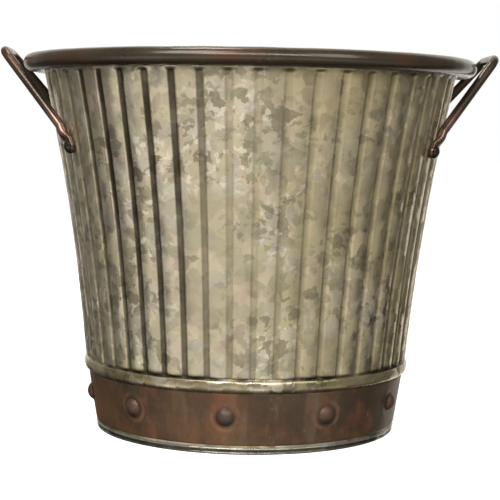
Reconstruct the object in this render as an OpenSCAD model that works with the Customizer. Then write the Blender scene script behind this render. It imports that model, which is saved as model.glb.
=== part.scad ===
// Florist bucket: fluted sheet-metal pail with a rolled rim, a riveted band
// round the foot and two fixed wire handles.
// Millimetres. The origin is the centre of the foot on the table, +Z is up,
// -Y is the front and the handles stand at +X and -X.

/* [Overall] */
// Outer diameter over the rolled rim
rim_d = 280; // [270:1:290]
// Height from the table to the top of the rim
rim_top_z = 230; // [225:1:240]
// Thickness of the wall, rim and floor sheet
sheet_t = 0.8; // [0.6:0.1:1.0]

/* [Wall] */
// Outer radius of the wall at the foot of the flutes
flute_foot_r = 100.6; // [100:0.1:101]
// Height of the foot of the flutes
flute_foot_z = 45; // [44.5:0.5:46]
// Outer radius of the wall just under the rim
mouth_r = 127.2; // [126:0.1:128]
// Outward slope of the wall at the foot of the flutes
wall_slope = 0.086; // [0.07:0.002:0.1]

/* [Flutes] */
// Number of flutes round the wall
flute_count = 48; // [48]
// Width of one pressed groove
groove_w = 4.4; // [3:0.1:4.4]
// Depth of one pressed groove
groove_depth = 1.2; // [0.8:0.1:1.6]

/* [Rim] */
// Height of the rolled rim
rim_h = 10.2; // [9.6:0.2:10.8]
// Diameter of the wire inside the rim
rim_wire_d = 6; // [4:0.5:7]

/* [Foot] */
// Outer radius of the band at its top edge
band_top_r = 99.1; // [98.8:0.1:99.3]
// Height of the band's top edge
band_top_z = 36.4; // [36:0.2:36.8]
// Outer radius of the band at its lower edge
band_low_r = 94.1; // [93.8:0.1:94.4]
// Height of the band's lower edge
band_low_z = 5; // [5:0.2:6]
// Thickness of the band
band_t = 0.8; // [0.6:0.1:0.9]
// Height of the underside of the floor above the table
floor_z = 8; // [6:0.5:12]
// Height of the folded seam round the foot
seam_h = 4.6; // [4:0.2:4.8]

/* [Band rivets] */
// Number of rivets round the band
band_rivet_count = 10; // [6:1:12]
// Turn of the first rivet from the front, in degrees
band_rivet_phase = -9; // [-18:1:18]
// Height of the rivet centres
band_rivet_z = 22.4; // [18:0.5:26]
// Radius of a rivet's domed head
band_head_r = 6; // [4:0.5:7]
// Height of a rivet's domed head
band_head_h = 3; // [2:0.25:3.5]

/* [Handles] */
// Diameter of the handle wire
handle_wire_d = 5.8; // [5:0.2:6]
// Distance of the grip's centre line from the bucket's axis
grip_x = 150.2; // [150:0.2:154]
// Height of the grip's centre line
grip_z = 231.4; // [228:0.2:236]
// Distance between the two corners of the grip
grip_w = 38; // [34:1:60]
// Bend radius of the grip's corners
grip_bend_r = 11; // [8:1:14]
// Turn of each handle rivet from the handle's middle, in degrees
foot_turn = 26.25; // [26.25]
// Height of the handle rivets
foot_rivet_z = 175; // [170:1:178]
// Splay of the handle's feet on the wall, in degrees
foot_splay = 28; // [20:1:32]
// Length of a foot from its rivet up to its bend
foot_rise = 14; // [13:0.5:16]
// Width of the flattened foot
paddle_w = 9; // [8:0.5:10]
// Thickness of the flattened foot
paddle_t = 2.8; // [2:0.1:3]
// Radius of a handle rivet's domed head
handle_head_r = 4.2; // [3.5:0.1:4.5]
// Height of a handle rivet's domed head
handle_head_h = 2.4; // [1.5:0.1:3]
// Radius of the washer behind each handle rivet
washer_r = 4.3; // [4:0.1:4.4]
// Thickness of the washer behind each handle rivet
washer_t = 1; // [0.6:0.1:1.2]

/* [Hidden] */

// Gap between sheets that lie against each other
fit_gap = 0.05;
// Gap under a flat part that lies against the curved wall
seat_gap = 0.2;
// Radius of every rivet's shank
shank_r = 2;
// Radius of every rivet hole
rivet_hole_r = shank_r + fit_gap;
// Radius and height of the closed end of a rivet
tail_r = 3.2;
tail_h = 1.2;

// Rim section: a flat-topped roll that stands out from the mouth
rim_r = rim_d / 2;
rim_low_z = rim_top_z - rim_h;
rim_mid_z = rim_top_z - rim_h / 2;
rim_in_r = mouth_r - 2 * sheet_t - 2 * fit_gap;
rim_wire_r = rim_wire_d / 2;
wall_top_z = rim_mid_z + 1;

// Flutes run from just above the ledge to just under the rim
flute_top_z = rim_low_z - 1.2;
flute_low_z = flute_foot_z + 1.2;
flute_pitch = 360 / flute_count;
flare_h = rim_low_z - flute_foot_z;
wall_flare = (mouth_r - flute_foot_r - wall_slope * flare_h) / (flare_h * flare_h);
// Number of straight steps that follow the wall's flare
flare_steps = 8;
// Width and height of the folded lock seam up the back
lock_seam_w = 6;
lock_seam_t = 0.7;
lock_seam_turn = flute_pitch / 2;

// Ring bead between the flutes and the band
ring_top_z = flute_foot_z - 0.8;
ring_low_z = band_top_z + 0.2;
ring_r = flute_foot_r + 0.8;
crease_r = flute_foot_r - 1.2;

// Taper of the foot
band_taper = (band_top_r - band_low_r) / (band_top_z - band_low_z);
band_tilt = atan(band_taper);
seam_round = 0.6;
seam_lift = 1;

wire_r = handle_wire_d / 2;
// Swell of the wire at a bend, and how far each straight length stops short of it
knuckle_swell = 0.15;
knuckle_gap = 0.3;
smooth = 96;

// Outer radius of the fluted wall's panels at a height
function wall_r(z) =
    flute_foot_r + wall_slope * (z - flute_foot_z) + wall_flare * pow(z - flute_foot_z, 2);
// Lean of the wall at a height, in degrees from upright
function wall_lean(z) = atan(wall_slope + 2 * wall_flare * (z - flute_foot_z));
// Outer radius of the band, and of the wall's plain skirt behind it
function band_r(z) = band_low_r + band_taper * (z - band_low_z);
function skirt_r(z) = band_r(z) - band_t - fit_gap;
// Heights that divide a stretch of the flare into equal steps
function flare_z(low, high) = [for (i = [0:flare_steps]) low + (high - low) * i / flare_steps];
// Outline, in radius and height, of the wall between two depths below its panels
function flare_strip(low, high, inner, outer) = concat(
    [for (z = flare_z(low, high)) [wall_r(z) - outer, z]],
    [for (z = flare_z(high, low)) [wall_r(z) - inner, z]]
);

// Outer line of the wall sheet from its top edge down to the seam
wall_line = concat(
    [[mouth_r, wall_top_z]],
    [for (z = flare_z(rim_low_z, flute_foot_z)) [wall_r(z), z]],
    [
        [crease_r, ring_top_z],
        [ring_r - 0.5, ring_top_z - 1],
        [ring_r, (ring_top_z + ring_low_z) / 2 + 1],
        [ring_r - 0.4, (ring_top_z + ring_low_z) / 2 - 1],
        [skirt_r(band_top_z) + 0.9, band_top_z + fit_gap + 0.9],
        [skirt_r(band_top_z), band_top_z + fit_gap],
        [skirt_r(seam_lift), seam_lift]
    ]
);
wall_back_line = [for (i = [len(wall_line) - 1:-1:0]) wall_line[i] - [sheet_t, 0]];

// Flat-topped roll with round sides, standing between two radii
module roll_section(inner_r, outer_r, height) {
    translate([inner_r + height / 2, 0])
        circle(d = height, $fn = smooth);
    translate([outer_r - height / 2, 0])
        circle(d = height, $fn = smooth);
    translate([inner_r + height / 2, -height / 2])
        square([outer_r - inner_r - height, height]);
}

// Upright strip that follows the flare, laid off along +X
module flare_bar(width, low, high, inner, outer) {
    rotate([90, 0, 0])
        linear_extrude(width, center = true)
            polygon(flare_strip(low, high, inner, outer));
}

// Places children at a wall or band point with +X out of the sheet and +Z up it
module on_sheet(turn, radius, height, lean) {
    rotate([0, 0, turn])
        translate([radius, 0, height])
            rotate([0, lean, 0])
                children();
}

// Places children at each band rivet
module at_band_rivets() {
    for (i = [0:band_rivet_count - 1])
        on_sheet(band_rivet_phase - 90 + i * 360 / band_rivet_count,
                 band_r(band_rivet_z), band_rivet_z, band_tilt)
            children();
}

// Places children at the two rivets of the handle that stands at +X, with $side as 1 or -1
module at_foot_rivets() {
    for ($side = [-1, 1])
        on_sheet($side * foot_turn, wall_r(foot_rivet_z), foot_rivet_z, wall_lean(foot_rivet_z))
            children();
}

// Rod lying along +X between two distances
module rod_x(from, to, radius) {
    translate([from, 0, 0])
        rotate([0, 90, 0])
            cylinder(h = to - from, r = radius, $fn = smooth);
}

// Round rod between two points
module rod(a, b, radius) {
    d = b - a;
    translate(a)
        rotate([0, acos(d.z / norm(d)), atan2(d.y, d.x)])
            cylinder(h = norm(d), r = radius, $fn = smooth);
}

// Domed cap whose flat side is at a distance along +X
module dome_x(from, radius, height) {
    ball_r = (radius * radius + height * height) / (2 * height);
    translate([from, 0, 0])
        rotate([0, 90, 0])
            intersection() {
                translate([0, 0, height - ball_r])
                    sphere(r = ball_r, $fn = smooth);
                cylinder(h = height + 1, r = radius, $fn = smooth);
            }
}

// Rivet along +X: closed end, shank and domed head
module rivet(tail_x, seat_x, head_r, head_h) {
    rod_x(tail_x - tail_h, tail_x, tail_r);
    rod_x(tail_x - tail_h / 2, seat_x + head_h / 2, shank_r);
    dome_x(seat_x, head_r, head_h);
}

module side_wall() {
    color([0.58, 0.54, 0.44])
        difference() {
            union() {
                rotate_extrude($fn = smooth)
                    polygon(concat(wall_line, wall_back_line));
                for (i = [0:flute_count - 1])
                    rotate([0, 0, i * flute_pitch])
                        flare_bar(groove_w + 2 * sheet_t, flute_low_z - sheet_t, flute_top_z + sheet_t,
                                  sheet_t / 2, groove_depth + sheet_t);
                rotate([0, 0, 90 + lock_seam_turn])
                    flare_bar(lock_seam_w, flute_low_z, flute_top_z, -lock_seam_t, sheet_t / 2);
            }
            for (i = [0:flute_count - 1])
                rotate([0, 0, i * flute_pitch])
                    flare_bar(groove_w, flute_low_z, flute_top_z, -2 * sheet_t, groove_depth);
            at_band_rivets()
                rod_x(-6, 6, rivet_hole_r);
            for (turn = [0, 180])
                rotate([0, 0, turn])
                    at_foot_rivets()
                        rod_x(-6, 6, rivet_hole_r);
        }
}

module rim_roll() {
    slot_in = mouth_r - sheet_t - fit_gap;
    color([0.2, 0.15, 0.12])
        rotate_extrude($fn = smooth)
            difference() {
                translate([0, rim_mid_z])
                    roll_section(rim_in_r, rim_r, rim_h);
                translate([0, rim_mid_z])
                    roll_section(rim_in_r + sheet_t, rim_r - sheet_t, rim_h - 2 * sheet_t);
                translate([slot_in, rim_low_z - 1])
                    square([sheet_t + 2 * fit_gap, wall_top_z - rim_low_z + 1 + fit_gap]);
            }
}

module rim_wire() {
    color([0.5, 0.5, 0.5])
        rotate_extrude($fn = smooth)
            translate([rim_r - rim_h / 2, rim_low_z + sheet_t + fit_gap + rim_wire_r])
                circle(r = rim_wire_r, $fn = smooth);
}

module base_pan() {
    leg_r = skirt_r(0) - sheet_t - fit_gap;
    hook_r = skirt_r(0) + fit_gap;
    function tapered(r, z) = [r + band_taper * z, z];
    color([0.62, 0.61, 0.57])
        rotate_extrude($fn = smooth)
            polygon([
                [0, floor_z],
                tapered(leg_r - sheet_t, floor_z),
                tapered(leg_r - sheet_t, seam_round),
                [leg_r - sheet_t + seam_round, 0],
                [hook_r + sheet_t - seam_round, 0],
                tapered(hook_r + sheet_t, seam_round),
                tapered(hook_r + sheet_t, seam_h),
                tapered(hook_r, seam_h),
                tapered(hook_r, sheet_t),
                tapered(leg_r, sheet_t),
                tapered(leg_r, floor_z + sheet_t),
                [0, floor_z + sheet_t]
            ]);
}

module skirt_band() {
    color([0.36, 0.25, 0.18])
        difference() {
            rotate_extrude($fn = smooth)
                polygon([
                    [band_low_r - band_t, band_low_z],
                    [band_low_r, band_low_z],
                    [band_top_r, band_top_z],
                    [band_top_r - band_t, band_top_z]
                ]);
            at_band_rivets()
                rod_x(-6, 6, rivet_hole_r);
        }
}

module band_rivets() {
    inner_face = -(band_t + fit_gap + sheet_t) - seat_gap;
    color([0.34, 0.24, 0.18])
        at_band_rivets()
            rivet(inner_face, 0, band_head_r, band_head_h);
}

// Ball that joins two lengths of wire where they meet at a bend
module knuckle(place) {
    translate(place)
        sphere(r = wire_r + knuckle_swell, $fn = smooth);
}

// Handle that stands at +X: two flattened feet on the wall, two splayed legs and a grip
module handle() {
    lean = wall_lean(foot_rivet_z);
    // Centre line of the wire where the foot bends away from the wall
    lift = seat_gap + wire_r;
    out = wall_r(foot_rivet_z) + lift * cos(lean) + foot_rise * cos(foot_splay) * sin(lean);
    aside = foot_rise * sin(foot_splay);
    bend_x = out * cos(foot_turn) + aside * sin(foot_turn);
    bend_y = out * sin(foot_turn) - aside * cos(foot_turn);
    bend_z = foot_rivet_z - lift * sin(lean) + foot_rise * cos(foot_splay) * cos(lean);
    // The legs and the grip lie in one leaning plane
    tilt = atan2(grip_x - bend_x, grip_z - bend_z);
    leg_h = norm([grip_x - bend_x, grip_z - bend_z]);
    splay = atan2(bend_y - grip_w / 2, leg_h);
    grip_half = grip_w / 2 - grip_bend_r * tan((90 - splay) / 2);
    bend_mid = [grip_half, leg_h - grip_bend_r, 0];
    leg_top = bend_mid + grip_bend_r * [cos(splay), sin(splay), 0];
    grip_end = [grip_half, leg_h, 0];
    difference() {
        union() {
            at_foot_rivets()
                paddle();
            translate([bend_x, 0, bend_z])
                rotate([0, tilt, 0])
                    rotate([90, 0, 90]) {
                        rod(grip_end - [knuckle_gap, 0, 0], [knuckle_gap - grip_half, leg_h, 0], wire_r);
                        for (side = [1, -1]) {
                            foot = [side * bend_y, 0, 0];
                            top = [side * leg_top.x, leg_top.y, 0];
                            along = knuckle_gap * (top - foot) / norm(top - foot);
                            knuckle(foot);
                            rod(foot + along, top - along, wire_r);
                            knuckle(top);
                            translate([side * bend_mid.x, bend_mid.y, 0])
                                rotate([0, 0, side > 0 ? splay : 90])
                                    rotate_extrude(angle = 90 - splay, $fn = smooth)
                                        translate([grip_bend_r, 0])
                                            circle(r = wire_r, $fn = smooth);
                            knuckle([side * grip_half, leg_h, 0]);
                        }
                    }
        }
        at_foot_rivets()
            rod_x(-1, 6, rivet_hole_r);
    }
}

// Foot of a handle: a flattened end, turned by its splay, that swells into the round wire
module paddle() {
    neck_z = foot_rise - 5;
    flat_z = foot_rise - 9;
    slice = 0.2;
    rotate([$side * foot_splay, 0, 0]) {
        translate([seat_gap, 0, 0])
            rotate([0, 90, 0])
                linear_extrude(paddle_t) {
                    circle(d = paddle_w, $fn = smooth);
                    translate([-flat_z, -paddle_w / 2])
                        square([flat_z, paddle_w]);
                }
        hull() {
            translate([seat_gap + fit_gap, fit_gap - paddle_w / 2, flat_z - slice])
                cube([paddle_t - 2 * fit_gap, paddle_w - 2 * fit_gap, slice]);
            translate([seat_gap + wire_r, 0, neck_z])
                cylinder(h = slice, r = wire_r + fit_gap, $fn = 32);
        }
        translate([seat_gap + wire_r, 0, neck_z])
            cylinder(h = foot_rise - neck_z - knuckle_gap, r = wire_r, $fn = smooth);
    }
}

module left_handle() {
    color([0.24, 0.17, 0.14])
        rotate([0, 0, 180])
            handle();
}

module right_handle() {
    color([0.24, 0.17, 0.14])
        handle();
}

// Two rivets of the handle that stands at +X
module handle_rivets() {
    inner_face = -(sheet_t + 2 * seat_gap + washer_t);
    at_foot_rivets()
        rivet(inner_face, seat_gap + paddle_t + fit_gap, handle_head_r, handle_head_h);
}

module left_handle_rivets() {
    color([0.2, 0.15, 0.12])
        rotate([0, 0, 180])
            handle_rivets();
}

module right_handle_rivets() {
    color([0.2, 0.15, 0.12])
        handle_rivets();
}

// Two washers inside the wall, behind the handle that stands at +X
module handle_washers() {
    front = -(sheet_t + seat_gap);
    at_foot_rivets()
        difference() {
            rod_x(front - washer_t, front, washer_r);
            rod_x(front - washer_t - 1, front + 1, rivet_hole_r);
        }
}

module left_handle_washers() {
    color([0.6, 0.6, 0.58])
        rotate([0, 0, 180])
            handle_washers();
}

module right_handle_washers() {
    color([0.6, 0.6, 0.58])
        handle_washers();
}

side_wall();
rim_roll();
rim_wire();
base_pan();
skirt_band();
band_rivets();
left_handle();
right_handle();
left_handle_rivets();
right_handle_rivets();
left_handle_washers();
right_handle_washers();
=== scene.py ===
"""The florist bucket's looks: fluted zinc wall, rolled bronze rim, copper-brown band and wire handles.

Everything is in metres, in the CAD's frame: +Z up, the front at -Y, the handles at +X and -X.
"""
import math

import bmesh
import bpy
from mathutils import Matrix, Vector, noise


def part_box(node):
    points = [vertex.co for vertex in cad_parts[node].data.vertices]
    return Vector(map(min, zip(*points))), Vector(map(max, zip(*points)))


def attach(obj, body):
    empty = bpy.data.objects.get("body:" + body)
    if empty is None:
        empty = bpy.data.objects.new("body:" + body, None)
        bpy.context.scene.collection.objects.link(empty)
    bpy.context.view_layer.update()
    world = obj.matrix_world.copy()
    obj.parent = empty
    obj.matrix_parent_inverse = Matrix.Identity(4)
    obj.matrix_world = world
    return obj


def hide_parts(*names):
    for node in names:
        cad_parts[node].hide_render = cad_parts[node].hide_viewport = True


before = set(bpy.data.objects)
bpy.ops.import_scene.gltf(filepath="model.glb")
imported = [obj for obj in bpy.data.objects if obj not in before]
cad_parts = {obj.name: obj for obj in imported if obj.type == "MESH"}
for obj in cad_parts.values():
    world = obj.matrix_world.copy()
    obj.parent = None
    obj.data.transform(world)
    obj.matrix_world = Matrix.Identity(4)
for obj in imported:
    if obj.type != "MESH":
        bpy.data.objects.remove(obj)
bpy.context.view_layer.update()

MM = 0.001

# How many points stand round each turned sheet
RIM_POINTS = 360
BASE_POINTS = 300
BAND_POINTS = 900

# ---------------------------------------------------------------- sizes read from the frame
RIM_LOW, RIM_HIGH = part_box("rim_roll")
BAND_LOW, BAND_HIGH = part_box("skirt_band")
GRIP_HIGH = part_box("right_handle")[1]

RIM_R = min(RIM_HIGH.x, RIM_HIGH.y)
RIM_H = RIM_HIGH.z - RIM_LOW.z
RIM_BOTTOM = RIM_LOW.z
BAND_TOP_R = BAND_HIGH.x
BAND_TOP_Z = BAND_HIGH.z
BAND_LOW_Z = BAND_LOW.z

# ---------------------------------------------------------------- the sheet-metal design
SHEET = 0.8 * MM
BAND_T = 0.8 * MM
FIT_GAP = 0.05 * MM
SEAT_GAP = 0.2 * MM
FLUTES = 48
GROOVE_SHARE = 0.386
GROOVE_DEPTH = 0.8 * MM
PILLOW = 0.42 * MM
FLUTE_FOOT_R = 100.6 * MM
FLUTE_FOOT_Z = 45 * MM
WALL_SLOPE = 0.086
MOUTH_R = 127.2 * MM
FLARE_H = RIM_BOTTOM - FLUTE_FOOT_Z
WALL_FLARE = (MOUTH_R - FLUTE_FOOT_R - WALL_SLOPE * FLARE_H) / FLARE_H**2
BAND_LOW_R = 94.1 * MM
BAND_TAPER = (BAND_TOP_R - BAND_LOW_R) / (BAND_TOP_Z - BAND_LOW_Z)
RING_R = FLUTE_FOOT_R + 0.8 * MM
RIM_INNER_R = MOUTH_R - 2 * SHEET - 2 * FIT_GAP
FLOOR_Z = 8 * MM
SEAM_H = 4.6 * MM

# How finely the wall's patches vary round it, and the seeds of its dark wash with painted groove shade, its
# brown film with a painted shade tint, and its pale flakes with painted glints
WASH_SPREAD = 1.3
WASH_AND_SHADE_SEED = 717.97
FILM_AND_SHADE_SEED = 314.76
SHINE_SEED = 351.36

# Band rivets
BAND_RIVETS = 10
BAND_RIVET_PHASE = math.radians(-9)
BAND_RIVET_Z = 22.4 * MM
BAND_HEAD_R = 5.4 * MM
BAND_HEAD_H = 3 * MM

# Handles
WIRE_R = 2.9 * MM
GRIP_X = GRIP_HIGH.x - WIRE_R
GRIP_Z = GRIP_HIGH.z - WIRE_R
GRIP_W = 38 * MM
FOOT_TURN = math.radians(26.25)
FOOT_Z = 175 * MM
FOOT_SPLAY = math.radians(28)
FOOT_RISE = 14 * MM
PADDLE_W = 9 * MM
PADDLE_T = 2.8 * MM
HANDLE_HEAD_R = 4.2 * MM
HANDLE_HEAD_H = 2.4 * MM
FOOT_BEND_R = 3.5 * MM
GRIP_BEND_R = 11 * MM
WASHER_R = 4.5 * MM
WASHER_T = 1 * MM
SHANK_R = 2 * MM
TAIL_R = 3.2 * MM
TAIL_H = 1.2 * MM


def wall_r(z):
    """Outer radius of the fluted wall's panels at a height."""
    up = z - FLUTE_FOOT_Z
    return FLUTE_FOOT_R + WALL_SLOPE * up + WALL_FLARE * up * up


def wall_lean(z):
    """Lean of the wall from upright at a height."""
    return math.atan(WALL_SLOPE + 2 * WALL_FLARE * (z - FLUTE_FOOT_Z))


def band_r(z):
    """Outer radius of the band at a height."""
    return BAND_LOW_R + BAND_TAPER * (z - BAND_LOW_Z)


def skirt_r(z):
    """Outer radius of the wall's plain skirt, behind the band."""
    return band_r(z) - BAND_T - FIT_GAP


def smoothstep(low, high, x):
    """0 below low, 1 above high, and smooth between."""
    t = min(1, max(0, (x - low) / (high - low)))
    return t * t * (3 - 2 * t)


def spread(low, high, count):
    """count + 1 evenly spaced values from low to high."""
    return [low + (high - low) * i / count for i in range(count + 1)]


# ---------------------------------------------------------------- mesh helpers
def finish_mesh(bm, name, crease_deg=40):
    """Makes an object from a bmesh, with outward faces and sharp edges kept sharp."""
    bmesh.ops.recalc_face_normals(bm, faces=bm.faces)
    for face in bm.faces:
        face.smooth = True
    limit = math.radians(crease_deg)
    for edge in bm.edges:
        if len(edge.link_faces) == 2 and edge.calc_face_angle() > limit:
            edge.smooth = False
    mesh = bpy.data.meshes.new(name)
    bm.to_mesh(mesh)
    bm.free()
    piece = bpy.data.objects.new(name, mesh)
    bpy.context.scene.collection.objects.link(piece)
    return piece


def lathe(name, outline, count, wobble=None):
    """Turns a closed (radius, height) outline round Z. wobble(angle, r, z) gives a new (r, z)."""
    bm = bmesh.new()
    rings = []
    for i in range(count):
        angle = 2 * math.pi * i / count
        ring = []
        for r, z in outline:
            if wobble:
                r, z = wobble(angle, r, z)
            ring.append(bm.verts.new((r * math.cos(angle), r * math.sin(angle), z)))
        rings.append(ring)
    points = len(outline)
    for i in range(count):
        here, there = rings[i], rings[(i + 1) % count]
        for j in range(points):
            k = (j + 1) % points
            bm.faces.new((here[j], there[j], there[k], here[k]))
    return finish_mesh(bm, name)


def cap_lathe(bm, outline, count, matrix):
    """Adds to bm a solid turned round its own +X axis from (radius, x) points, first and last on the axis."""
    first = bm.verts.new(matrix @ Vector((outline[0][1], 0, 0)))
    last = bm.verts.new(matrix @ Vector((outline[-1][1], 0, 0)))
    rings = []
    for r, x in outline[1:-1]:
        ring = []
        for i in range(count):
            angle = 2 * math.pi * i / count
            ring.append(bm.verts.new(matrix @ Vector((x, r * math.cos(angle), r * math.sin(angle)))))
        rings.append(ring)
    for i in range(count):
        k = (i + 1) % count
        bm.faces.new((first, rings[0][i], rings[0][k]))
        bm.faces.new((last, rings[-1][k], rings[-1][i]))
        for here, there in zip(rings, rings[1:]):
            bm.faces.new((here[i], there[i], there[k], here[k]))


def on_sheet(turn, radius, height, lean):
    """Matrix of a place on a leaning sheet: +X out of it, +Z up it."""
    return (Matrix.Rotation(turn, 4, "Z") @ Matrix.Translation((radius, 0, height))
            @ Matrix.Rotation(lean, 4, "Y"))


def arc(centre, radius, start_deg, end_deg, count):
    """Points of a circular arc in a (radius, height) outline."""
    points = []
    for i in range(count + 1):
        a = math.radians(start_deg + (end_deg - start_deg) * i / count)
        points.append((centre[0] + radius * math.cos(a), centre[1] + radius * math.sin(a)))
    return points


# ---------------------------------------------------------------- wall
# Where points stand across a panel, as shares of its half, and across a groove, as shares of its half
PANEL_STEPS = (0.33, 0.66, 0.86)
GROOVE_STEPS = (0, 0.3, 0.5, 0.68, 0.86, 1.04, 1.2)


# (millimetres under the rim, share of the groove's depth) where the grooves run out at the top
GROOVE_TOP = ((0.1, 0), (0.7, 0.12), (1.3, 0.45), (1.9, 0.8), (2.6, 0.97), (3.4, 1), (5, 1), (8, 1))
# (height, inset, share of the groove's depth) where they run out at the foot
GROOVE_FOOT = ((1.6, 0, 1), (0.8, 0.05, 1), (0.3, 0.2, 0.95), (0, 0.45, 0.8),
               (-0.3, 0.85, 0.5), (-0.6, 1.2, 0.15), (-0.85, 1.3, 0))
# (out, up) of the ring bead: a ledge above, a nearly flat face, and tucked in above the band
RING_BEAD = ((-1.9, -1.0), (-1.3, -0.98), (-0.85, -1.1), (-0.5, -1.4), (-0.25, -1.9), (-0.08, -2.8),
             (0, -4.0), (-0.05, -5.2), (-0.25, -6.3), (-0.7, -7.2), (-1.4, -7.8))


def flute_columns():
    """(turn, groove depth share, bulge drop share) of each column of points, 20 to a flute."""
    half = GROOVE_SHARE / 2
    panel = 0.5 - half * GROOVE_STEPS[-1]
    steps = [(-0.5, 0.0)] + [(-0.5 + panel * t, t * t) for t in PANEL_STEPS]
    steps += [(-half * t, 1.0) for t in GROOVE_STEPS[:0:-1]]
    steps += [(half * t, 1.0) for t in GROOVE_STEPS]
    steps += [(0.5 - panel * t, t * t) for t in PANEL_STEPS[::-1]]
    columns = []
    for flute in range(FLUTES):
        for step, drop in steps:
            # A groove lies on +X; a pitch starts in the middle of the panel before it
            depth = 1 - smoothstep(0.25, 1.12, abs(step) / half)
            columns.append((2 * math.pi * (flute + step) / FLUTES, depth, drop))
    return columns


def wall_outline():
    """(radius, height, flute depth) down the wall's outer face, from its top edge to the seam."""
    rows = [(MOUTH_R, RIM_BOTTOM + 5.5 * MM, 0), (MOUTH_R, RIM_BOTTOM + 1 * MM, 0)]
    for drop, depth in GROOVE_TOP:
        z = RIM_BOTTOM - drop * MM
        rows.append((wall_r(z), z, depth))
    for z in spread(RIM_BOTTOM - 12 * MM, FLUTE_FOOT_Z + 4 * MM, 32):
        rows.append((wall_r(z), z, 1))
    for z, inset, depth in GROOVE_FOOT:
        rows.append((FLUTE_FOOT_R - inset * MM, FLUTE_FOOT_Z + z * MM, depth))
    for out, up in RING_BEAD:
        rows.append((RING_R + out * MM, FLUTE_FOOT_Z + up * MM, 0))
    rows.append((skirt_r(BAND_TOP_Z) + 0.25 * MM, BAND_TOP_Z + 0.25 * MM, 0))
    for z in (BAND_TOP_Z - 0.5 * MM, 20 * MM, 1 * MM):
        rows.append((skirt_r(z), z, 0))
    return rows


def build_wall():
    """The fluted sheet as one closed mesh. Points keep their groove depth, wash and painted groove shade,
    film and painted shade tint, painted crease shade and shine.
    """
    rows = wall_outline()
    columns = flute_columns()
    bm = bmesh.new()
    groove_layer = bm.verts.layers.float.new("groove")
    wash_and_shade_layer = bm.verts.layers.float.new("wash_and_shade")
    crease_shade_layer = bm.verts.layers.float.new("crease_shade")
    film_and_shade_layer = bm.verts.layers.float.new("film_and_shade")
    shine_layer = bm.verts.layers.float.new("shine")

    def patch(angle, height, seed):
        place = (math.cos(angle) * WASH_SPREAD, math.sin(angle) * WASH_SPREAD, height + seed)
        return noise.noise(Vector(place))

    def radius_at(angle, depth, drop, row):
        r, z, fade = row
        x, y = r * math.cos(angle), r * math.sin(angle)
        wave = noise.noise(Vector((x * 26, y * 26, z * 13))) * 0.4 * MM
        wave += noise.noise(Vector((x * 70, y * 70, z * 35 + 7))) * 0.1 * MM
        wave *= smoothstep(BAND_TOP_Z, FLUTE_FOOT_Z + 12 * MM, z)
        wave *= 1 - smoothstep(RIM_BOTTOM - 14 * MM, RIM_BOTTOM, z)
        return r - depth * fade * GROOVE_DEPTH - (drop - 0.3) * PILLOW * fade + wave

    def add_point(angle, radius, z, depth):
        vert = bm.verts.new((math.cos(angle) * radius, math.sin(angle) * radius, z))
        vert[groove_layer] = depth
        # The wash patches are partly dark wash and partly painted shade: they set where the grooves are
        # painted dark
        wash_and_shade = smoothstep(-0.15, 0.3, patch(angle, z * 1.5, WASH_AND_SHADE_SEED))
        # The film patches are a brown film that also serves as a painted shade tint on the less lit side
        film_and_shade = smoothstep(-0.2, 0.3, patch(angle, z * 3, FILM_AND_SHADE_SEED))
        vert[wash_and_shade_layer] = wash_and_shade
        # The ring wears the brown film all round
        vert[film_and_shade_layer] = film_and_shade if z > FLUTE_FOOT_Z - 1.4 * MM else 1.1
        # Painted shade lies in the crease above the ring and under the rim, and the ring is darkened thinly
        # all over
        rise = (z - FLUTE_FOOT_Z + 0.6 * MM) / ((2.2 if z > FLUTE_FOOT_Z - 0.6 * MM else 0.8) * MM)
        crease_shadow = math.exp(-rise * rise) * (0.25 + 0.75 * max(wash_and_shade, film_and_shade))
        under_rim_shadow = 0.4 * math.exp(-(((z - RIM_BOTTOM) / (3.5 * MM)) ** 2))
        ring_darkening = 0.3 if BAND_TOP_Z < z < FLUTE_FOOT_Z - 1.6 * MM else 0
        vert[crease_shade_layer] = max(crease_shadow, under_rim_shadow, ring_darkening)
        # Shine patches: where more pale flakes lie, partly painted glints
        vert[shine_layer] = smoothstep(-0.2, 0.3, patch(angle, z * 3, SHINE_SEED))
        return vert

    outer = [[add_point(angle, radius_at(angle, depth, drop, row), row[1], depth * row[2]) for row in rows]
             for angle, depth, drop in columns]
    inner_rows = rows[:2] + rows[3:-1:2] + rows[-1:]
    inner = [[add_point(angle, radius_at(angle, depth, drop, row) - SHEET, row[1], depth * row[2])
              for row in inner_rows] for angle, depth, drop in columns[::2]]
    for i in range(len(outer)):
        here, there = outer[i], outer[(i + 1) % len(outer)]
        for j in range(len(rows) - 1):
            bm.faces.new((here[j], there[j], there[j + 1], here[j + 1]))
    for i in range(len(inner)):
        k = (i + 1) % len(inner)
        for j in range(len(inner_rows) - 1):
            bm.faces.new((inner[i][j + 1], inner[k][j + 1], inner[k][j], inner[i][j]))
        trio = [outer[(2 * i + n) % len(outer)] for n in range(3)]
        bm.faces.new((inner[i][0], inner[k][0], trio[2][0], trio[1][0], trio[0][0]))
        bm.faces.new((trio[0][-1], trio[1][-1], trio[2][-1], inner[k][-1], inner[i][-1]))
    return finish_mesh(bm, "fluted_wall", crease_deg=75)


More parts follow.
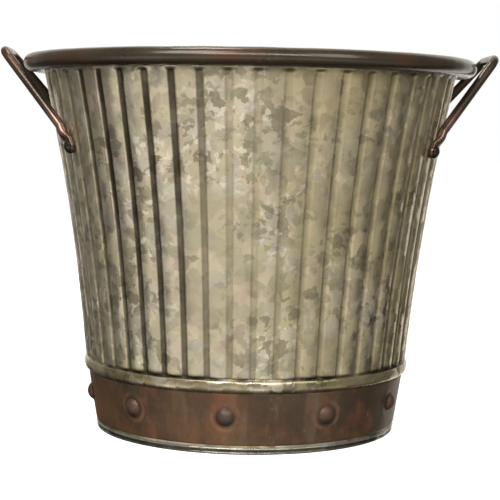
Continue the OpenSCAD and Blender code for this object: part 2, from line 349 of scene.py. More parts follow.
def build_lock_seam():
    """The folded seam that joins the sheet's two edges, up the panel left of the back."""
    turn = math.radians(90) + math.pi / FLUTES
    half = 3 * MM
    across = [(-half, -0.3 * MM), (-half * 0.96, 0.35 * MM), (-half * 0.8, 0.55 * MM),
              (half * 0.8, 0.55 * MM), (half * 0.96, 0.35 * MM), (half, -0.3 * MM)]
    bm = bmesh.new()
    rows = []
    for z in spread(FLUTE_FOOT_Z + 1.4 * MM, RIM_BOTTOM - 3.2 * MM, 60):
        place = on_sheet(turn, wall_r(z), z, 0)
        rows.append([bm.verts.new(place @ Vector((out, side, 0))) for side, out in across])
    for here, there in zip(rows, rows[1:]):
        for j in range(len(across)):
            k = (j + 1) % len(across)
            bm.faces.new((here[j], here[k], there[k], there[j]))
    bm.faces.new(rows[0])
    bm.faces.new(rows[-1])
    return finish_mesh(bm, "lock_seam", crease_deg=50)


# ---------------------------------------------------------------- rim
def rim_outline():
    """Section of the rolled rim: round outside and inside, with a nearly flat crown and underside."""
    half = RIM_H / 2
    mid = RIM_BOTTOM + half
    outer_c = (RIM_R - half, mid)
    inner_c = (RIM_INNER_R + half, mid)
    crown = 0.25 * MM
    outline = arc(outer_c, half, -90, 90, 20)
    for t in spread(0, 1, 6)[1:-1]:
        r = outer_c[0] + (inner_c[0] - outer_c[0]) * t
        outline.append((r, mid + half - crown * math.sin(math.pi * t) * 0.5))
    outline += arc(inner_c, half, 90, 270, 16)
    for t in spread(0, 1, 6)[1:-1]:
        r = inner_c[0] + (outer_c[0] - inner_c[0]) * t
        outline.append((r, mid - half + crown * math.sin(math.pi * t)))
    return outline


def build_rim():
    def wobble(angle, r, z):
        ripple = noise.noise(Vector((math.cos(angle) * 4, math.sin(angle) * 4, 3))) * 0.35 * MM
        fine = noise.noise(Vector((math.cos(angle) * 22, math.sin(angle) * 22, 9))) * 0.08 * MM
        mid = RIM_BOTTOM + RIM_H / 2
        shrink = 1 - abs(ripple + fine) / (RIM_H / 2)
        return RIM_R + (r - RIM_R) * shrink - abs(fine), mid + (z - mid) * shrink
    return lathe("rolled_rim", rim_outline(), RIM_POINTS, wobble)


# ---------------------------------------------------------------- base
# (radius, lift) along the floor, with its pressed ring
FLOOR_PRESS = ((30, 0), (58, 0), (60.5, 0.5), (63, 1.2), (66, 1.2), (68.5, 0.5), (71, 0), (80, 0), (86, 0))


def build_base():
    """Floor with a pressed ring, and the seam folded round the skirt as a rounded bead."""
    leg = skirt_r(0) - SHEET - FIT_GAP
    hook = skirt_r(0) + FIT_GAP

    def at(r, z):
        return (r + BAND_TAPER * z, z)

    bead = 0.9 * MM
    outline = [(0.2 * MM, FLOOR_Z)]
    for r, lift in FLOOR_PRESS:
        outline.append((r * MM, FLOOR_Z + lift * MM))
    outline.append(at(leg - SHEET - 1.2 * MM, FLOOR_Z))
    outline.append(at(leg - SHEET - 0.35 * MM, FLOOR_Z - 0.3 * MM))
    outline.append(at(leg - SHEET, FLOOR_Z - 1.2 * MM))
    outline.append(at(leg - SHEET, 2 * MM))
    outline += arc((leg - SHEET + bead, bead), bead, 180, 270, 5)
    # Outside, the seam shows a lower bead, a dark step and a thin upper lip
    foot = 0.65 * MM
    outline += arc((hook + SHEET - foot, foot), foot, 270, 400, 8)
    outline += [at(hook + SHEET - 0.6 * MM, 1.35 * MM), at(hook + SHEET - 0.72 * MM, 1.9 * MM),
                at(hook + SHEET - 0.6 * MM, 2.5 * MM)]
    lip = 0.75 * MM
    crest = SEAM_H - 0.7 * MM
    outline += [at(r, z) for r, z in arc((hook + SHEET - lip, crest - lip), lip, -50, 90, 7)]
    outline.append(at(hook + 0.05 * MM, SEAM_H - 0.05 * MM))
    outline += [at(hook, SEAM_H - 0.8 * MM), at(hook, 1.1 * MM), at(hook - 0.3 * MM, 0.8 * MM)]
    outline += [at(leg + 0.3 * MM, 0.8 * MM), at(leg, 1.1 * MM)]
    outline += [at(leg, FLOOR_Z - 0.4 * MM), at(leg - 0.35 * MM, FLOOR_Z + 0.5 * MM),
                at(leg - 1.3 * MM, FLOOR_Z + SHEET)]
    for r, lift in FLOOR_PRESS[::-1]:
        outline.append((r * MM, FLOOR_Z + SHEET + lift * MM))
    outline.append((0.2 * MM, FLOOR_Z + SHEET))
    base = lathe("base_pan_and_seam", outline, BASE_POINTS)
    # Painted shade lies in the step of the seam, and less of it on the bead below
    shade_and_grime = base.data.attributes.new("groove", "FLOAT", "POINT")
    wash_and_shade = base.data.attributes.new("wash_and_shade", "FLOAT", "POINT")
    for vert in base.data.vertices:
        step = 0
        if vert.co.xy.length > hook + 0.1 * MM:
            if 1.1 * MM < vert.co.z < 2.6 * MM:
                step = 1
            elif vert.co.z < 1.2 * MM:
                step = 0.72
        shade_and_grime.data[vert.index].value = step
        wash_and_shade.data[vert.index].value = step
    return base


# ---------------------------------------------------------------- band and its rivets
def band_rivet_turns():
    return [BAND_RIVET_PHASE - math.pi / 2 + i * 2 * math.pi / BAND_RIVETS for i in range(BAND_RIVETS)]


def build_band():
    """The copper-brown band, raised a little at each rivet, dented round it, and lapped at the back."""
    turns = band_rivet_turns()
    mound_h, mound_r = 0.9 * MM, 7.5 * MM
    dent_h, dent_r, dent_w = 0.5 * MM, 6.6 * MM, 1.3 * MM
    rubbed_r, rubbed_w = 8.2 * MM, 0.9 * MM
    lap_turn = math.radians(104)
    lap_width = math.radians(9)

    def turned(angle, turn):
        return math.atan2(math.sin(angle - turn), math.cos(angle - turn))

    def near_rivet(angle, z):
        """How far the sheet stands out, and its shade and rubbed shares, by how near a rivet is."""
        away = min(math.hypot(turned(angle, turn) * band_r(z), z - BAND_RIVET_Z) for turn in turns)
        out = mound_h * math.exp(-((away / mound_r) ** 2))
        out -= dent_h * math.exp(-(((away - dent_r) / dent_w) ** 2))
        shade = 1 - smoothstep(BAND_HEAD_R, 7.2 * MM, away)
        rubbed = math.exp(-(((away - rubbed_r) / rubbed_w) ** 2))
        return out, shade, rubbed

    bm = bmesh.new()
    shade_layer = bm.verts.layers.float.new("shade")
    rubbed_layer = bm.verts.layers.float.new("rubbed")
    heights = spread(BAND_TOP_Z - 0.3 * MM, BAND_LOW_Z + 0.3 * MM, 40)
    outer, inner = [], []
    for i in range(BAND_POINTS):
        angle = 2 * math.pi * i / BAND_POINTS
        direction = Vector((math.cos(angle), math.sin(angle), 0))
        lap = turned(angle, lap_turn)
        raised = 0.35 * MM * smoothstep(-lap_width / 2, -lap_width / 2 + 0.01, lap)
        raised *= 1 - smoothstep(lap_width / 2 - 0.04, lap_width / 2, lap)
        out_line, in_line = [], []
        for j, z in enumerate(heights):
            place = direction * band_r(z)
            wave = noise.noise(Vector((place.x * 30, place.y * 30, z * 24))) * 0.3 * MM
            wave += noise.noise(Vector((place.x * 110, place.y * 110, z * 90 + 4))) * 0.1 * MM
            inset = 0.25 * MM if j in (0, len(heights) - 1) else 0
            stands, shade, rubbed = near_rivet(angle, z)
            radius = band_r(z) - 0.25 * MM + wave * 0.6 + stands * 0.6 + raised * 0.4 - inset
            vert = bm.verts.new((direction.x * radius, direction.y * radius, z))
            vert[shade_layer] = shade
            vert[rubbed_layer] = rubbed
            out_line.append(vert)
            back = band_r(z) - BAND_T
            in_line.append(bm.verts.new((direction.x * back, direction.y * back, z)))
        outer.append(out_line)
        inner.append(in_line)
    for i in range(BAND_POINTS):
        k = (i + 1) % BAND_POINTS
        for j in range(len(heights) - 1):
            bm.faces.new((outer[i][j], outer[k][j], outer[k][j + 1], outer[i][j + 1]))
            bm.faces.new((inner[i][j + 1], inner[k][j + 1], inner[k][j], inner[i][j]))
        bm.faces.new((inner[i][0], inner[k][0], outer[k][0], outer[i][0]))
        bm.faces.new((outer[i][-1], outer[k][-1], inner[k][-1], inner[i][-1]))
    return finish_mesh(bm, "copper_band", crease_deg=60)


def rivet_outline(tail_x, seat_x, head_r, head_h):
    """(radius, x) points of a rivet: upset tail, shank and a domed head with a soft edge."""
    ball_r = (head_r**2 + head_h**2) / (2 * head_h)
    points = [(0, tail_x - TAIL_H), (TAIL_R * 0.6, tail_x - TAIL_H), (TAIL_R * 0.9, tail_x - TAIL_H * 0.85),
              (TAIL_R, tail_x - TAIL_H * 0.5), (TAIL_R * 0.92, tail_x), (SHANK_R, tail_x), (SHANK_R, seat_x)]
    points += [(head_r * 0.94, seat_x), (head_r * 0.99, seat_x + 0.04 * head_h)]
    reach = math.asin(head_r / ball_r)
    for t in spread(0.97, 0, 12)[:-1]:
        a = reach * t
        points.append((ball_r * math.sin(a), seat_x + head_h - ball_r * (1 - math.cos(a))))
    points.append((0, seat_x + head_h))
    return points


def build_band_rivets():
    bm = bmesh.new()
    tilt = math.atan(BAND_TAPER)
    inner_face = -(BAND_T + FIT_GAP + SHEET) - SEAT_GAP
    outline = rivet_outline(inner_face, -0.05 * MM, BAND_HEAD_R, BAND_HEAD_H)
    for turn in band_rivet_turns():
        cap_lathe(bm, outline, 40, on_sheet(turn, band_r(BAND_RIVET_Z), BAND_RIVET_Z, tilt))
    return finish_mesh(bm, "band_rivet_heads", crease_deg=55)


# ---------------------------------------------------------------- handles
def fillet(points, radii, steps):
    """A polyline's points with each inner corner rounded to its radius."""
    out = [points[0]]
    for i in range(1, len(points) - 1):
        back = (points[i - 1] - points[i]).normalized()
        on = (points[i + 1] - points[i]).normalized()
        half = back.angle(on) / 2
        radius = radii[i - 1]
        centre = points[i] + (back + on).normalized() * (radius / math.sin(half))
        start = points[i] + back * (radius / math.tan(half)) - centre
        end = points[i] + on * (radius / math.tan(half)) - centre
        sweep = start.angle(end)
        for k in range(steps + 1):
            t = k / steps
            along = start * math.sin((1 - t) * sweep) + end * math.sin(t * sweep)
            out.append(centre + along / math.sin(sweep))
    out.append(points[-1])
    return out


def resample(points, step):
    """Even points along a polyline, its two ends included."""
    out = [points[0]]
    for a, b in zip(points, points[1:]):
        length = (b - a).length
        for i in range(max(1, round(length / step))):
            out.append(a.lerp(b, (i + 1) / max(1, round(length / step))))
    return out


def half_handle_path():
    """Centre line of the right handle's back half, from its rivet to the middle of the grip."""
    place = on_sheet(FOOT_TURN, wall_r(FOOT_Z), FOOT_Z, wall_lean(FOOT_Z))
    place = place @ Matrix.Rotation(FOOT_SPLAY, 4, "X")
    rivet = place @ Vector((SEAT_GAP + WIRE_R, 0, 0))
    bend = place @ Vector((SEAT_GAP + WIRE_R, 0, FOOT_RISE))
    corner = Vector((GRIP_X, GRIP_W / 2, GRIP_Z))
    middle = Vector((GRIP_X, 0, GRIP_Z))
    return place, resample(fillet([rivet, bend, corner, middle], [FOOT_BEND_R, GRIP_BEND_R], 14), 1.6 * MM)


def paddle_section(s, angle):
    """(across, out) of the wire's skin at s metres from the rivet, where it is flattened, at an angle."""
    flat = 1 - smoothstep(3.5 * MM, 10 * MM, s)
    half_w = WIRE_R + (PADDLE_W / 2 - WIRE_R) * flat
    half_t = WIRE_R + (PADDLE_T / 2 - WIRE_R) * flat
    c, n = math.cos(angle), math.sin(angle)
    power = 1 - 0.45 * flat
    across = math.copysign(abs(c) ** power, c) * half_w
    out = math.copysign(abs(n) ** power, n) * half_t
    return across, out - (WIRE_R - half_t)


def build_handle(name, mirror):
    """One bent wire with flattened, rounded feet, made as half a handle and its mirror image."""
    place, path = half_handle_path()
    ring_points = 28
    out_axis = (place.to_3x3() @ Vector((1, 0, 0))).normalized()
    foot_up = (path[1] - path[0]).normalized()
    sections = []
    # Rounded end of the paddle, below the rivet
    end = PADDLE_W / 2
    for t in (1.0, 0.97, 0.9, 0.8, 0.66, 0.5, 0.33, 0.16):
        width = math.sqrt(max(0, 1 - t * t))
        thick = 0.55 + 0.45 * math.sqrt(max(0, 1 - t**4))
        sections.append((path[0] - foot_up * end * t, foot_up, 0, width, thick))
    run = 0
    for i, point in enumerate(path):
        if i:
            run += (point - path[i - 1]).length
        before = path[max(0, i - 1)]
        after = path[min(len(path) - 1, i + 1)]
        tangent = (after - before).normalized() if i < len(path) - 1 else Vector((0, -1, 0))
        sections.append((point, tangent, run, 1, 1))
    bm = bmesh.new()
    layer = bm.verts.layers.float.new("wear")
    for side in (1, -1):
        rings = []
        normal = out_axis.copy()
        for point, tangent, s, width, thick in sections:
            normal = (normal - tangent * normal.dot(tangent)).normalized()
            across_axis = tangent.cross(normal)
            knock = 0.05 * MM * noise.noise(point * 60 + Vector((0, 0, side * 3 + mirror * 11)))
            ring = []
            for k in range(ring_points):
                across, out = paddle_section(s, 2 * math.pi * k / ring_points)
                middle_out = -(WIRE_R - PADDLE_T / 2) if width < 1 else 0
                out = middle_out + (out - middle_out) * thick if width < 1 else out
                shift = point + across_axis * across * max(width, 0.02) + normal * out
                shift -= (shift - point).normalized() * abs(knock)
                vert = bm.verts.new((mirror * shift.x, shift.y * side, shift.z))
                # Rubbed bright round the bend above the foot
                vert[layer] = math.exp(-(((s - 15 * MM) / (11 * MM)) ** 2))
                ring.append(vert)
            rings.append(ring)
        for here, there in zip(rings, rings[1:]):
            for k in range(ring_points):
                m = (k + 1) % ring_points
                bm.faces.new((here[k], here[m], there[m], there[k]))
        bm.faces.new(rings[0])
    bmesh.ops.remove_doubles(bm, verts=bm.verts, dist=0.004 * MM)
    return finish_mesh(bm, name, crease_deg=60)


def foot_places():
    """Matrices of the four handle rivets, the right handle's two first."""
    places = []
    for half in (0, math.pi):
        for side in (1, -1):
            places.append(on_sheet(half + side * FOOT_TURN, wall_r(FOOT_Z), FOOT_Z, wall_lean(FOOT_Z)))
    return places


def build_handle_rivets(name, places):
    bm = bmesh.new()
    inner_face = -(SHEET + 2 * SEAT_GAP + WASHER_T)
    seat = SEAT_GAP + PADDLE_T + FIT_GAP
    outline = rivet_outline(inner_face, seat, HANDLE_HEAD_R, HANDLE_HEAD_H)
    for place in places:
        cap_lathe(bm, outline, 36, place)
    return finish_mesh(bm, name, crease_deg=55)


def build_washers(name, places):
    bm = bmesh.new()
    front = -(SHEET + SEAT_GAP)
    hole, edge = SHANK_R + FIT_GAP, 0.2 * MM
    outline = [(hole, front), (WASHER_R - edge, front), (WASHER_R, front - edge),
               (WASHER_R, front - WASHER_T + edge), (WASHER_R - edge, front - WASHER_T),
               (hole, front - WASHER_T)]
    count = 40
    for place in places:
        rings = []
        for i in range(count):
            a = 2 * math.pi * i / count
            rings.append([bm.verts.new(place @ Vector((x, r * math.cos(a), r * math.sin(a))))
                          for r, x in outline])
        for i in range(count):
            here, there = rings[i], rings[(i + 1) % count]
            for j in range(len(outline)):
                k = (j + 1) % len(outline)
                bm.faces.new((here[j], there[j], there[k], here[k]))
    return finish_mesh(bm, name, crease_deg=30)


# ---------------------------------------------------------------- materials
class Tree:
    """Short forms for building a node tree."""

    def __init__(self, tree):
        self.tree = tree

    def add(self, kind, **settings):
        node = self.tree.nodes.new(kind)
        for key, value in settings.items():
            if key in node.inputs:
                node.inputs[key].default_value = value
            else:
                setattr(node, key, value)
        return node

    def link(self, output, target):
        self.tree.links.new(output, target)

    def ramp(self, value, low, high, to_low=0.0, to_high=1.0):
        node = self.add("ShaderNodeMapRange")
        node.inputs["From Min"].default_value = low
        node.inputs["From Max"].default_value = high
        node.inputs["To Min"].default_value = to_low
        node.inputs["To Max"].default_value = to_high
        self.link(value, node.inputs["Value"])
        return node.outputs["Result"]

    def math(self, operation, a, b):
        node = self.add("ShaderNodeMath", operation=operation)
        for i, value in enumerate((a, b)):
            if isinstance(value, (int, float)):
                node.inputs[i].default_value = value
            else:
                self.link(value, node.inputs[i])
        return node.outputs[0]

    def mix(self, factor, a, b, blend="MIX"):
        """Colour a at factor 0 and b at factor 1."""
        node = self.add("ShaderNodeMix", data_type="RGBA", blend_type=blend)
        if isinstance(factor, (int, float)):
            node.inputs[0].default_value = factor
        else:
            self.link(factor, node.inputs[0])
        for socket, value in ((node.inputs[6], a), (node.inputs[7], b)):
            if isinstance(value, tuple):
                socket.default_value = (*value, 1)
            else:
                self.link(value, socket)
        return node.outputs[2]


class Nodes(Tree):
    """Short forms for building a material's node tree."""

    def __init__(self, name):
        self.material = bpy.data.materials.new(name)
        self.material.use_nodes = True
        super().__init__(self.material.node_tree)
        self.shader = self.tree.nodes["Principled BSDF"]
        self.coords = self.tree.nodes.new("ShaderNodeTexCoord").outputs["Object"]

    def scaled(self, scale):
        """The object's coordinates, stretched by an (x, y, z) scale."""
        node = self.add("ShaderNodeMapping", Scale=scale)
        self.link(self.coords, node.inputs["Vector"])
        return node.outputs["Vector"]

    def noise(self, scale, detail=4.0, roughness=0.55, vector=None):
        node = self.add("ShaderNodeTexNoise", Scale=scale, Detail=detail, Roughness=roughness)
        self.link(vector or self.coords, node.inputs["Vector"])
        return node.outputs["Fac"]

    def cells(self, scale, vector, soft):
        """Three random numbers for each cell of a flake pattern with soft borders."""
        node = self.add("ShaderNodeTexVoronoi", feature="SMOOTH_F1")
        node.inputs["Scale"].default_value = scale
        node.inputs["Smoothness"].default_value = soft
        self.link(vector, node.inputs["Vector"])
        split = self.add("ShaderNodeSeparateColor")
        self.link(node.outputs["Color"], split.inputs["Color"])
        return split.outputs

    def attribute(self, name):
        node = self.add("ShaderNodeAttribute", attribute_name=name)
        return node.outputs["Fac"]

    def bump(self, height, distance, strength=1.0, base=None):
        node = self.add("ShaderNodeBump", Strength=strength, Distance=distance)
        self.link(height, node.inputs["Height"])
        if base:
            self.link(base, node.inputs["Normal"])
        return node.outputs["Normal"]

    def finish(self, colour, roughness, metallic, normal=None, **sockets):
        self.link(colour, self.shader.inputs["Base Color"])
        if isinstance(roughness, (int, float)):
            self.shader.inputs["Roughness"].default_value = roughness
        else:
            self.link(roughness, self.shader.inputs["Roughness"])
        self.shader.inputs["Metallic"].default_value = metallic
        if normal:
            self.link(normal, self.shader.inputs["Normal"])
        for key, value in sockets.items():
            self.shader.inputs[key.replace("_", " ")].default_value = value
        return self.material


def shaded(tone, shares):
    """A colour with each channel times its share, up to 1."""
    return tuple(min(1, channel * share) for channel, share in zip(tone, shares))


def zinc_material(name, tone, dark_tone, shade_and_grime):
    """Hot-dip zinc: crystal flakes that each lean their own way, weathered, with grime and painted shade in
    the grooves and the crease.
    """
    n = Nodes(name)
    push = n.add("ShaderNodeVectorMath", operation="SCALE")
    push.inputs["Scale"].default_value = 0.013
    warp = n.add("ShaderNodeTexNoise", Scale=70.0, Detail=5.0, Roughness=0.68)
    n.link(n.coords, warp.inputs["Vector"])
    n.link(warp.outputs["Color"], push.inputs[0])
    bent = n.add("ShaderNodeVectorMath", operation="ADD")
    n.link(n.coords, bent.inputs[0])
    n.link(push.outputs[0], bent.inputs[1])
    big = n.cells(80.0, bent.outputs[0], 0.25)
    mid = n.cells(150.0, bent.outputs[0], 0.2)
    small = n.cells(340.0, bent.outputs[0], 0.2)
    cloud = n.noise(14.0, 5.0, 0.6)
    film_and_shade, shine = n.attribute("film_and_shade"), n.attribute("shine")
    olive = shaded(tone, (0.78, 0.81, 0.74))
    grey = shaded(tone, (0.8, 0.84, 0.92))
    rose = shaded(tone, (1.02, 0.96, 1.02))
    brown = shaded(tone, (0.68, 0.63, 0.45))
    groove_shade_and_stain_tone = shaded(tone, (0.58, 0.55, 0.42))
    pale = shaded(tone, (1.35, 1.42, 1.65))
    # Broad weathering, flakes of slightly different metal, a brown film that is partly a painted shade tint,
    # then dark flakes and pale flakes that are partly painted glints
    colour = n.mix(n.ramp(cloud, 0.38, 0.62), tone, olive)
    colour = n.mix(n.ramp(big["Red"], 0.5, 0.75, 0.0, 0.8), colour, grey)
    colour = n.mix(n.ramp(mid["Red"], 0.6, 0.8, 0.0, 0.8), colour, rose)
    colour = n.mix(n.ramp(big["Blue"], 0.55, 0.8, 0.0, 0.4), colour, olive)
    colour = n.mix(n.math("MULTIPLY", film_and_shade, n.ramp(n.noise(20.0, 4.0), 0.3, 0.65, 0.25, 0.8)), colour, brown)
    here = n.ramp(n.noise(22.0, 3.0), 0.42, 0.6, 0.12, 1.0)
    colour = n.mix(n.math("MULTIPLY", here, n.ramp(mid["Green"], 0.7, 0.8, 0.0, 0.7)), colour, dark_tone)
    colour = n.mix(n.math("MULTIPLY", here, n.ramp(small["Red"], 0.8, 0.88, 0.0, 0.6)), colour, dark_tone)
    # Pale flakes, partly painted glints, with more of them on the shine patches
    there = n.ramp(n.math("ADD", n.noise(24.0, 4.0), n.math("MULTIPLY", shine, 0.14)), 0.54, 0.7, 0.0, 1.0)
    colour = n.mix(n.math("MULTIPLY", there, n.ramp(mid["Blue"], 0.62, 0.78, 0.0, 0.5)), colour, pale)
    colour = n.mix(n.math("MULTIPLY", there, n.ramp(small["Green"], 0.8, 0.9, 0.0, 0.7)), colour, pale)
    # Painted shade and dirt in the grooves: darker where they are deeper, and most on the wash patches
    depth = n.ramp(n.attribute("groove"), 0.3, 0.75)
    wash_and_shade = n.math("MULTIPLY", n.attribute("wash_and_shade"), n.ramp(n.noise(45.0, 4.0), 0.25, 0.6, 0.75, 1.0))
    groove_shade_and_dirt = n.math("MULTIPLY", depth, n.math("MULTIPLY", wash_and_shade, shade_and_grime))
    groove_shade_and_stain = n.math("MULTIPLY", depth, n.ramp(n.noise(30.0, 4.0), 0.3, 0.7, 0.12 * shade_and_grime, 0.5 * shade_and_grime))
    colour = n.mix(groove_shade_and_stain, colour, groove_shade_and_stain_tone)
    colour = n.mix(groove_shade_and_dirt, colour, (0.034, 0.024, 0.013))
    # Painted shade in the crease above the ring and under the rim, and a thin darkening over the ring
    edge = n.math("MULTIPLY", n.attribute("crease_shade"), n.ramp(n.noise(40.0, 5.0), 0.3, 0.6, 0.3, 1.0))
    colour = n.mix(n.ramp(edge, 0.15, 0.5, 0.0, 0.9), colour, (0.05, 0.037, 0.02))
    rough = n.ramp(big["Blue"], 0.2, 0.8, 0.24, 0.36)
    rough = n.math("ADD", rough, n.ramp(n.noise(30.0), 0.3, 0.7, -0.03, 0.06))
    # Each flake tilts the surface a little, so some catch the light
    lean = n.add("ShaderNodeVectorMath", operation="SUBTRACT")
    lean.inputs[1].default_value = (0.5, 0.5, 0.5)
    joined = n.add("ShaderNodeCombineColor")
    n.link(big["Green"], joined.inputs["Red"])
    n.link(mid["Red"], joined.inputs["Green"])
    n.link(mid["Blue"], joined.inputs["Blue"])
    n.link(joined.outputs["Color"], lean.inputs[0])
    leaned = n.add("ShaderNodeVectorMath", operation="SCALE")
    leaned.inputs["Scale"].default_value = 0.24
    n.link(lean.outputs[0], leaned.inputs[0])
    total = n.add("ShaderNodeVectorMath", operation="ADD")
    n.link(leaned.outputs[0], total.inputs[0])
    n.link(n.bump(n.noise(700.0, 3.0), 0.00005, 0.5), total.inputs[1])
    unit = n.add("ShaderNodeVectorMath", operation="NORMALIZE")
    n.link(total.outputs[0], unit.inputs[0])
    return n.finish(colour, rough, 0.8, unit.outputs[0])


def paint_material(name, tone, worn, wear_share, roughness, scale=1.0, metallic=0.35, coat=0.0,
                   grain=0.35, rust=(1.1, 0.85, 0.75)):
    """Dark metallic paint over steel, mottled and rubbed through in places."""
    n = Nodes(name)
    blotch = n.noise(38.0 * scale, 6.0, 0.62)
    patch = n.noise(14.0 * scale, 3.0, 0.5)
    speck = n.noise(420.0 * scale, 4.0, 0.6)
    colour = n.mix(n.ramp(blotch, 0.35, 0.68), tone, shaded(tone, (0.62, 0.62, 0.62)))
    colour = n.mix(n.ramp(patch, 0.48, 0.6, 0.0, 0.85), colour, shaded(tone, rust))
    wear = n.math("MULTIPLY", n.ramp(blotch, 0.52, 0.66), n.ramp(speck, 0.5, 0.62))
    colour = n.mix(n.math("MULTIPLY", wear, wear_share), colour, worn)
    rub = n.attribute("wear")
    rubbed = n.math("MULTIPLY", rub, n.ramp(n.noise(90.0, 4.0), 0.35, 0.6, 0.15, 0.7))
    colour = n.mix(rubbed, colour, worn)
    rough = n.ramp(patch, 0.3, 0.7, roughness - 0.06, roughness + 0.1)
    normal = n.bump(n.noise(110.0, 3.0), 0.00012, grain)
    return n.finish(colour, rough, metallic, normal, Coat_Weight=coat, Coat_Roughness=0.15)


def copper_material(name):
    """Aged copper-brown finish: rusty, olive and dark patches, scuffs, and painted shade in dark rings round
    the rivets.
    """
    n = Nodes(name)
    big = n.noise(13.0, 5.0, 0.6, n.scaled((1, 1, 1.6)))
    wide = n.noise(11.0, 3.0, 0.5, n.scaled((1.3, 1.3, 0.6)))
    mid = n.noise(44.0, 6.0, 0.62, n.scaled((1, 1, 0.7)))
    speck = n.noise(520.0, 3.0, 0.6)
    streak = n.noise(60.0, 4.0, 0.6, n.scaled((1, 1, 0.12)))
    base = n.mix(n.ramp(big, 0.4, 0.58), (0.172, 0.086, 0.041), (0.08, 0.05, 0.029))
    base = n.mix(n.ramp(wide, 0.52, 0.66, 0.0, 0.6), base, (0.125, 0.086, 0.047))
    base = n.mix(n.ramp(mid, 0.52, 0.66, 0.0, 0.7), base, (0.27, 0.1, 0.05))
    base = n.mix(n.ramp(mid, 0.46, 0.32, 0.0, 0.75), base, (0.05, 0.036, 0.024))
    base = n.mix(n.ramp(streak, 0.52, 0.68, 0.0, 0.3), base, (0.3, 0.21, 0.125))
    base = n.mix(n.ramp(streak, 0.46, 0.34, 0.0, 0.4), base, (0.045, 0.033, 0.023))
    scuff = n.math("MULTIPLY", n.ramp(n.noise(75.0, 7.0, 0.72), 0.56, 0.68), n.ramp(speck, 0.48, 0.6))
    colour = n.mix(n.math("MULTIPLY", scuff, 0.35), base, (0.36, 0.26, 0.19))
    # Painted shade: a dark ring round each rivet head
    ringed = n.math("MULTIPLY", n.attribute("shade"), n.ramp(mid, 0.3, 0.6, 0.8, 0.5))
    colour = n.mix(ringed, colour, (0.035, 0.026, 0.018))
    rubbed = n.math("MULTIPLY", n.attribute("rubbed"), n.ramp(n.noise(60.0, 5.0), 0.42, 0.62))
    colour = n.mix(n.math("MULTIPLY", rubbed, 0.7), colour, (0.3, 0.17, 0.11))
    rough = n.ramp(mid, 0.3, 0.7, 0.38, 0.58)
    normal = n.bump(n.noise(120.0, 5.0), 0.0003, 0.6)
    normal = n.bump(speck, 0.00006, 0.5, normal)
    return n.finish(colour, rough, 0.4, normal)


def steel_material(name):
    """Plain zinc-plated steel for what stays out of sight or small."""
    n = Nodes(name)
    colour = n.mix(n.ramp(n.noise(120.0, 5.0), 0.3, 0.7), (0.5, 0.5, 0.48), (0.3, 0.3, 0.29))
    normal = n.bump(n.noise(400.0, 4.0), 0.00005, 0.5)
    return n.finish(colour, n.ramp(n.noise(60.0), 0.3, 0.7, 0.3, 0.5), 0.85, normal)


# ---------------------------------------------------------------- camera, light and floor
def add_camera():
    """Camera at the bucket's front: a long lens at four fifths of the rim's height, tipped down 5 degrees."""
    distance, side, height = 6.5 * RIM_R, 0.069 * RIM_R, 1.3245 * RIM_R
    pitch, roll, yaw = 0.0823, 0.0164, 0.0088
    orbit = math.radians(-2.9)
    data = bpy.data.cameras.new("camera")
    data.sensor_width = 36
    data.lens = 104.13
    camera = bpy.data.objects.new("camera", data)
    bpy.context.scene.collection.objects.link(camera)
    turn = Matrix.Rotation(orbit, 4, "Z")
    look = Matrix.Rotation(yaw, 4, "Z") @ Matrix.Rotation(math.pi / 2 - pitch, 4, "X")
    look = look @ Matrix.Rotation(roll, 4, "Z")
    camera.matrix_world = turn @ Matrix.Translation((side, -distance, height)) @ look
    bpy.context.scene.camera = camera


def add_area(name, place, target, size, power):
    """A white rectangular light that faces a target."""
    data = bpy.data.lights.new(name, "AREA")
    data.shape = "RECTANGLE"
    data.size, data.size_y = size
    data.energy = power
    light = bpy.data.objects.new(name, data)
    light.location = place
    light.rotation_euler = (Vector(target) - Vector(place)).to_track_quat("-Z", "Y").to_euler()
    bpy.context.scene.collection.objects.link(light)


# Brightness of the room round the bucket, below and above: (degrees to the right of the front, level)
ROOM_LOW = ((-180, 0.35), (-165, 0.1), (-130, 0.04), (-110, 0.07), (-88, 0.3), (-66, 1.08),
            (-20, 1.14), (12, 1.1), (45, 0.74), (80, 0.46), (100, 0.1), (112, 0.01),
            (128, 0.01), (137, 1.2), (150, 1.7), (180, 1.5))
ROOM_HIGH = ((-180, 1.1), (-162, 1.0), (-142, 0.25), (-100, 0.2), (-45, 0.26), (45, 0.22),
             (100, 0.14), (126, 0.14), (140, 1.0), (180, 1.2))
# Height of a direction where the low part gives way to the high part
ROOM_SPLIT = (-0.25, -0.12)
# Share of that brightness by height: (height of the direction, share), and its warm tint
ROOM_RISE = ((-1.0, 0.1), (-0.72, 0.2), (-0.6, 0.55), (-0.52, 0.82), (-0.44, 1.0),
             (-0.32, 0.9), (-0.26, 0.78), (-0.1, 1.0))
ROOM_TINT = (1, 0.97, 0.89)


def add_ramp(tree, value, stops, tint=(1, 1, 1)):
    """Tinted brightness along a value, from (value, level) stops that start at 0."""
    node = tree.add("ShaderNodeValToRGB")
    tree.link(value, node.inputs[0])
    elements = node.color_ramp.elements
    elements.remove(elements[1])
    for i, (position, level) in enumerate(stops):
        stop = elements.new(position) if i else elements[0]
        stop.color = (*(level * channel for channel in tint), 1)
    return node.outputs["Color"]


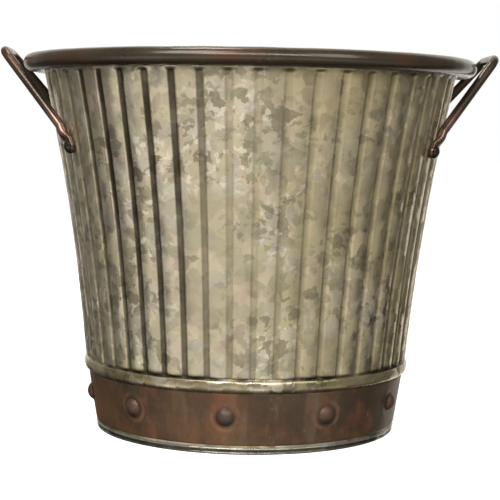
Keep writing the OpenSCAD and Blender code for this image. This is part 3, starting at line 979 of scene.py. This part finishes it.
def add_room():
    """Soft light from all round, brighter at the left of the front, with a white backdrop behind."""
    world = bpy.data.worlds.new("studio")
    bpy.context.scene.world = world
    world.use_nodes = True
    n = Tree(world.node_tree)
    coords = n.add("ShaderNodeTexCoord")
    way = n.add("ShaderNodeSeparateXYZ")
    n.link(coords.outputs["Generated"], way.inputs[0])
    # How far round the light comes from: 0 and 1 behind, 0.5 at the front
    turned = n.add("ShaderNodeCombineXYZ")
    n.link(n.math("MULTIPLY", way.outputs["Y"], -1), turned.inputs["X"])
    n.link(way.outputs["X"], turned.inputs["Y"])
    round_z = n.add("ShaderNodeTexGradient", gradient_type="RADIAL")
    n.link(turned.outputs[0], round_z.inputs[0])
    low, high = [add_ramp(n, round_z.outputs["Fac"], [(0.5 + turn / 360, level) for turn, level in stops])
                 for stops in (ROOM_LOW, ROOM_HIGH)]
    height = n.add("ShaderNodeMapRange", interpolation_type="SMOOTHSTEP")
    height.inputs["From Min"].default_value, height.inputs["From Max"].default_value = ROOM_SPLIT
    n.link(way.outputs["Z"], height.inputs["Value"])
    room = n.mix(height.outputs["Result"], low, high)
    # Below the horizon the room is dim near the floor, brightest half way up and a little dimmer above that
    rise = add_ramp(n, n.math("ADD", way.outputs["Z"], 1.0), [(1 + z, share) for z, share in ROOM_RISE],
                    ROOM_TINT)
    dimmed = n.mix(1, room, rise, "MULTIPLY")
    # The camera itself sees the white backdrop
    seen = n.add("ShaderNodeLightPath")
    backdrop = n.mix(seen.outputs["Is Camera Ray"], dimmed, (1, 1, 1))
    n.link(backdrop, n.tree.nodes["Background"].inputs["Color"])


def add_studio():
    add_room()
    middle = (0, 0, 0.12)
    add_area("key", (-0.75, -1.2, 1.3), middle, (0.9, 0.9), 18)
    add_area("fill", (1.0, -1.2, 0.9), middle, (0.6, 0.9), 6)
    add_area("rim_strip", (0.0, -1.6, 0.88), middle, (1.6, 0.14), 13)
    add_area("overhead", (-0.25, 0.1, 1.5), middle, (0.35, 0.35), 5)

    bm = bmesh.new()
    bmesh.ops.create_grid(bm, x_segments=8, y_segments=8, size=8)
    floor = finish_mesh(bm, "floor")
    n = Nodes("floor_white")
    colour = n.mix(n.ramp(n.noise(3.0), 0.3, 0.7), (0.93, 0.93, 0.92), (0.9, 0.9, 0.89))
    pale = n.finish(colour, 0.9, 0.0, None, Emission_Color=(1, 1, 1, 1), Emission_Strength=0.75)
    floor.data.materials.append(pale)
    floor.visible_glossy = False
    floor.visible_diffuse = False
    bpy.context.scene.view_settings.view_transform = "Standard"


# ---------------------------------------------------------------- assembly
def place_piece(piece, material, slot, *nodes):
    piece.data.materials.clear()
    piece.data.materials.append(material)
    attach(piece, "root")
    if nodes:
        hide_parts(*nodes)


add_camera()
add_studio()

zinc = zinc_material("weathered_zinc", (0.68, 0.595, 0.43), (0.25, 0.222, 0.15), 0.95)
base_zinc = zinc_material("bright_zinc", (0.48, 0.455, 0.385), (0.19, 0.175, 0.135), 0.9)
rim_paint = paint_material("dark_bronze", (0.068, 0.051, 0.031), (0.17, 0.125, 0.085), 0.25, 0.25,
                           metallic=0.35, coat=0.2, rust=(1.5, 0.75, 0.6))
handle_paint = paint_material("handle_bronze", (0.13, 0.1, 0.072), (0.5, 0.27, 0.21), 0.25, 0.25,
                              scale=2.0, metallic=0.75, grain=0.08)
rivet_paint = paint_material("rivet_bronze", (0.055, 0.043, 0.03), (0.3, 0.22, 0.16), 0.3, 0.2,
                             scale=2.0, metallic=0.6, grain=0.1)
stud_paint = paint_material("stud_bronze", (0.11, 0.075, 0.052), (0.4, 0.27, 0.19), 0.4, 0.45,
                            scale=1.6, metallic=0.4)
copper = copper_material("aged_copper")
steel = steel_material("plated_steel")

place_piece(build_wall(), zinc, "galvanised_wall", "side_wall")
place_piece(build_lock_seam(), zinc, "galvanised_wall")
place_piece(build_rim(), rim_paint, "bronze_paint", "rim_roll")
place_piece(build_base(), base_zinc, "galvanised_base", "base_pan")
place_piece(build_band(), copper, "copper_band", "skirt_band")
place_piece(build_band_rivets(), stud_paint, "copper_rivet", "band_rivets")

all_places = foot_places()
for side, mirror, places in (("right", 1, all_places[:2]), ("left", -1, all_places[2:])):
    handle = build_handle(side + "_wire_handle", mirror)
    rivets = build_handle_rivets(side + "_rivet_heads", places)
    washers = build_washers(side + "_washers", places)
    place_piece(handle, handle_paint, "handle_bronze", side + "_handle")
    place_piece(rivets, rivet_paint, "handle_rivet", side + "_handle_rivets")
    place_piece(washers, steel, "plain_steel", side + "_handle_washers")

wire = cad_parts["rim_wire"]
wire.data.materials.clear()
wire.data.materials.append(steel)
